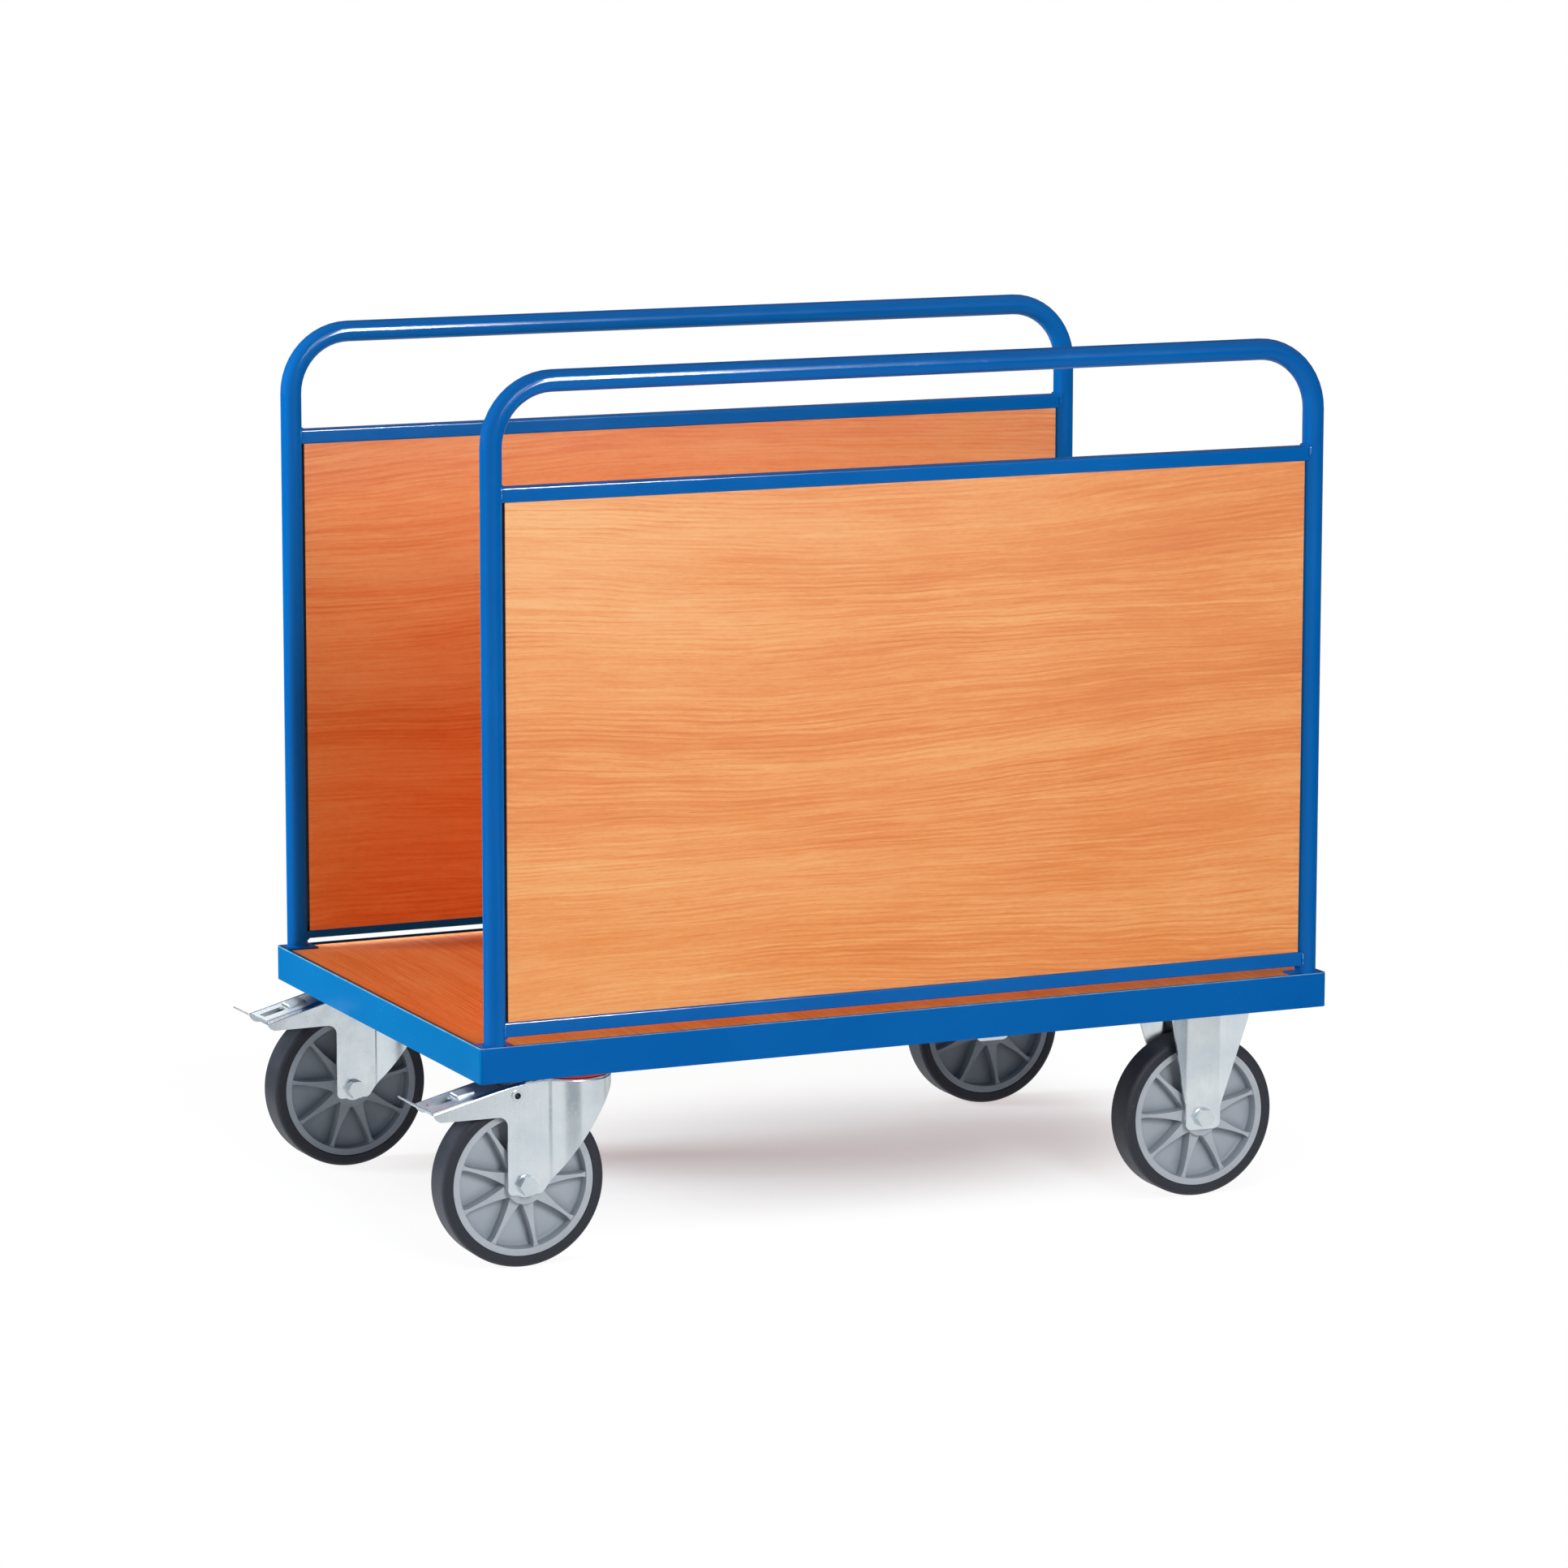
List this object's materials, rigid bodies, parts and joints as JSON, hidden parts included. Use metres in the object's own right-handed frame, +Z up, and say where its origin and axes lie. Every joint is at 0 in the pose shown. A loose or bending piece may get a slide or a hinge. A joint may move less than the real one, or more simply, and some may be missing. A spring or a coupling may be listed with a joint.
{
  "type": "bale trolley",
  "caption": "Platform trolley with a boarded deck in a steel rim, panelled tube hoops along both long sides, fixed casters at one end and braked swivel casters at the other.",
  "frame": {"origin": "on the floor, under the middle of the outline seen from above", "axes": "+X along the deck towards the fixed casters, +Y across the deck, +Z up"},
  "size_m": [1.2344, 0.72, 1.097],
  "materials": {
    "frame_paint": "gloss powder coat",
    "beech_board": "satin beech-decor laminate",
    "zinc_steel": "bright zinc plate",
    "wheel_plastic": "moulded satin",
    "tyre_rubber": "solid rubber",
    "seal_plastic": "moulded gloss"
  },
  "bodies": {
    "chassis": {"caster_bolts": "zinc_steel", "caster_carrier_fixed": "frame_paint", "caster_carrier_swivel": "frame_paint", "caster_nuts": "zinc_steel", "corner_plates": "frame_paint", "deck_panel": "beech_board", "deck_screws": "zinc_steel", "end_rail_fixed": "frame_paint", "end_rail_swivel": "frame_paint", "fixed_axle_bolts": "zinc_steel", "fixed_axle_nuts": "zinc_steel", "fixed_axle_sleeves": "zinc_steel", "fixed_fork_far": "zinc_steel", "fixed_fork_near": "zinc_steel", "hoop_far": "frame_paint", "hoop_near": "frame_paint", "kingpin_nuts": "zinc_steel", "kingpins": "zinc_steel", "lower_crossbar_far": "frame_paint", "lower_crossbar_near": "frame_paint", "middle_crossmember": "frame_paint", "seal_ring_far": "seal_plastic", "seal_ring_near": "seal_plastic", "side_panel_far": "beech_board", "side_panel_near": "beech_board", "side_rail_far": "frame_paint", "side_rail_near": "frame_paint", "swivel_plate_far": "zinc_steel", "swivel_plate_near": "zinc_steel", "swivel_race_far": "zinc_steel", "swivel_race_near": "zinc_steel", "upper_crossbar_far": "frame_paint", "upper_crossbar_near": "frame_paint"},
    "fixed_wheel_near": {"tyre_fixed_near": "tyre_rubber", "rim_fixed_near": "wheel_plastic", "bearings_fixed_near": "zinc_steel"},
    "swivel_wheel_near": {"tyre_swivel_near": "tyre_rubber", "rim_swivel_near": "wheel_plastic", "bearings_swivel_near": "zinc_steel"},
    "swivel_fork_near": {"swivel_fork_near": "zinc_steel", "axle_bolt_near": "zinc_steel", "axle_nut_near": "zinc_steel", "axle_sleeve_near": "zinc_steel", "pedal_pin_near": "zinc_steel"},
    "brake_pedal_near": {"brake_pedal_near": "zinc_steel", "brake_shoe_near": "zinc_steel"},
    "fixed_wheel_far": {"tyre_fixed_far": "tyre_rubber", "rim_fixed_far": "wheel_plastic", "bearings_fixed_far": "zinc_steel"},
    "swivel_wheel_far": {"tyre_swivel_far": "tyre_rubber", "rim_swivel_far": "wheel_plastic", "bearings_swivel_far": "zinc_steel"},
    "swivel_fork_far": {"swivel_fork_far": "zinc_steel", "axle_bolt_far": "zinc_steel", "axle_nut_far": "zinc_steel", "axle_sleeve_far": "zinc_steel", "pedal_pin_far": "zinc_steel"},
    "brake_pedal_far": {"brake_pedal_far": "zinc_steel", "brake_shoe_far": "zinc_steel"}
  },
  "joints": [
    {"name": "fixed_wheel_near_spin", "type": "hinge", "parent": "chassis", "child": "fixed_wheel_near", "pos_m": [0.45417, -0.3025, 0.105], "axis": [0, 1, 0], "continuous": true},
    {"name": "caster_near_swivel", "type": "hinge", "parent": "chassis", "child": "swivel_fork_near", "pos_m": [-0.40283, -0.3025, 0.238], "axis": [0, 0, 1], "continuous": true},
    {"name": "swivel_wheel_near_spin", "type": "hinge", "parent": "swivel_fork_near", "child": "swivel_wheel_near", "pos_m": [-0.47282, -0.30128, 0.105], "axis": [0.0175, 0.9998, 0], "continuous": true},
    {"name": "brake_pedal_near_press", "type": "hinge", "parent": "swivel_fork_near", "child": "brake_pedal_near", "pos_m": [-0.48432, -0.30108, 0.2165], "axis": [-0.0175, -0.9998, 0], "range_deg": [0, 12]},
    {"name": "fixed_wheel_far_spin", "type": "hinge", "parent": "chassis", "child": "fixed_wheel_far", "pos_m": [0.45417, 0.3025, 0.105], "axis": [0, 1, 0], "continuous": true},
    {"name": "caster_far_swivel", "type": "hinge", "parent": "chassis", "child": "swivel_fork_far", "pos_m": [-0.40283, 0.3025, 0.238], "axis": [0, 0, 1], "continuous": true},
    {"name": "swivel_wheel_far_spin", "type": "hinge", "parent": "swivel_fork_far", "child": "swivel_wheel_far", "pos_m": [-0.47279, 0.30006, 0.105], "axis": [-0.0349, 0.9994, 0], "continuous": true},
    {"name": "brake_pedal_far_press", "type": "hinge", "parent": "swivel_fork_far", "child": "brake_pedal_far", "pos_m": [-0.48428, 0.29966, 0.2165], "axis": [0.0349, -0.9994, 0], "range_deg": [0, 12]}
  ]
}
